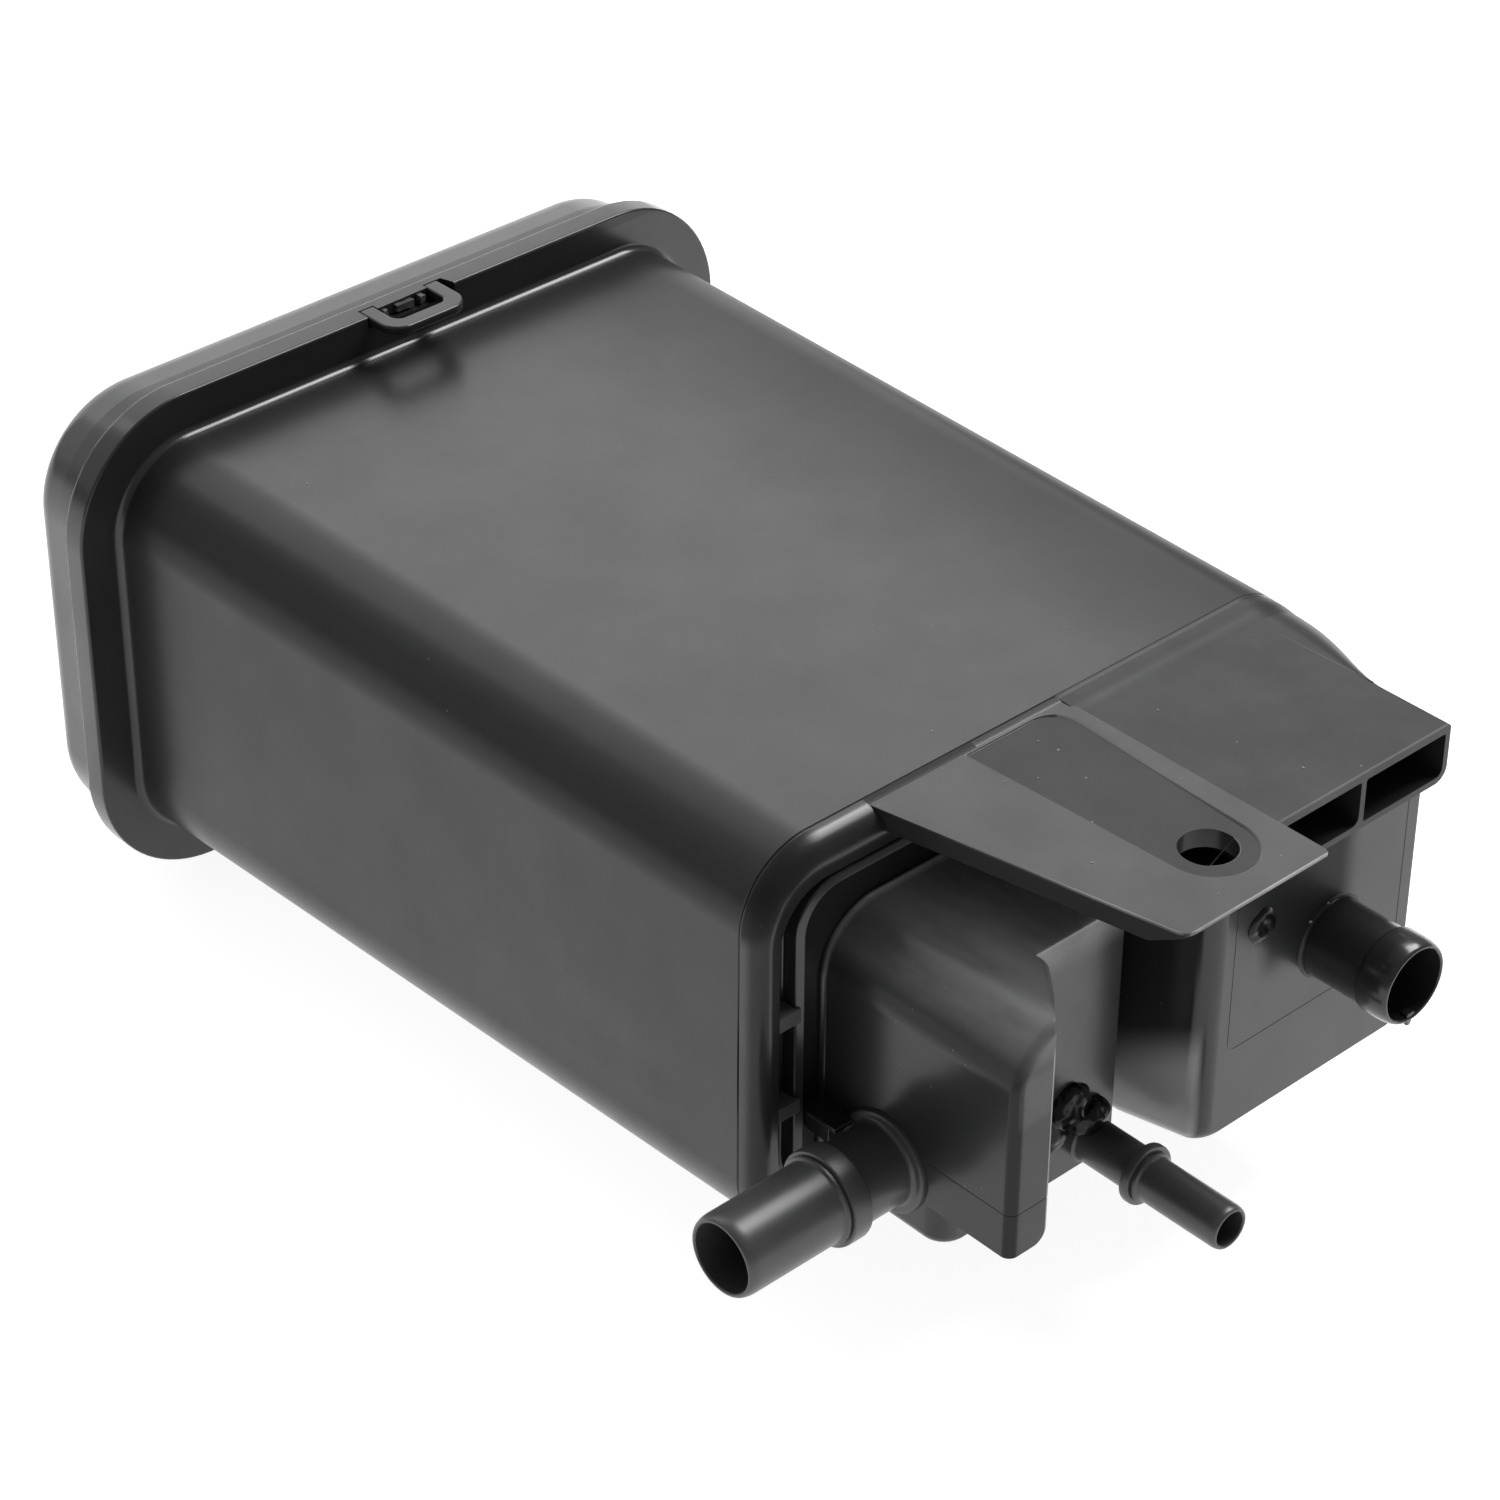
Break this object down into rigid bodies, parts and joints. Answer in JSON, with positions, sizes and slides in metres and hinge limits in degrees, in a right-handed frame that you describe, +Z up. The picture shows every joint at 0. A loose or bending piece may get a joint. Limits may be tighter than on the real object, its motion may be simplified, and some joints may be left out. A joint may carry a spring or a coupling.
{
  "type": "charcoal canister",
  "caption": "Drafted black plastic fuel-vapour canister with hose ports, a bolt bracket, a slotted tunnel and a welded rear cover over carbon beds held by sprung plates.",
  "frame": {"origin": "centre of the bolt hole in the bracket plate, half-way through the plate", "axes": "+Z up through the bolt hole, +Y along the body from the ports to the rear cover, +X to the right seen from the port end"},
  "size_m": [0.1749, 0.2655, 0.1085],
  "materials": {
    "shell": "satin black",
    "felt": "needled felt",
    "carbon": "packed granules",
    "plate": "plain",
    "spring": "drawn wire"
  },
  "bodies": {
    "root": {"housing": "shell", "rear_cover": "shell", "tank_front_filter": "felt", "tank_carbon": "carbon", "tank_rear_filter": "felt", "tank_pressure_plate": "plate", "tank_upper_spring": "spring", "tank_lower_spring": "spring", "vent_front_filter": "felt", "vent_carbon": "carbon", "vent_rear_filter": "felt", "vent_pressure_plate": "plate", "vent_upper_spring": "spring", "vent_lower_spring": "spring"}
  },
  "joints": []
}
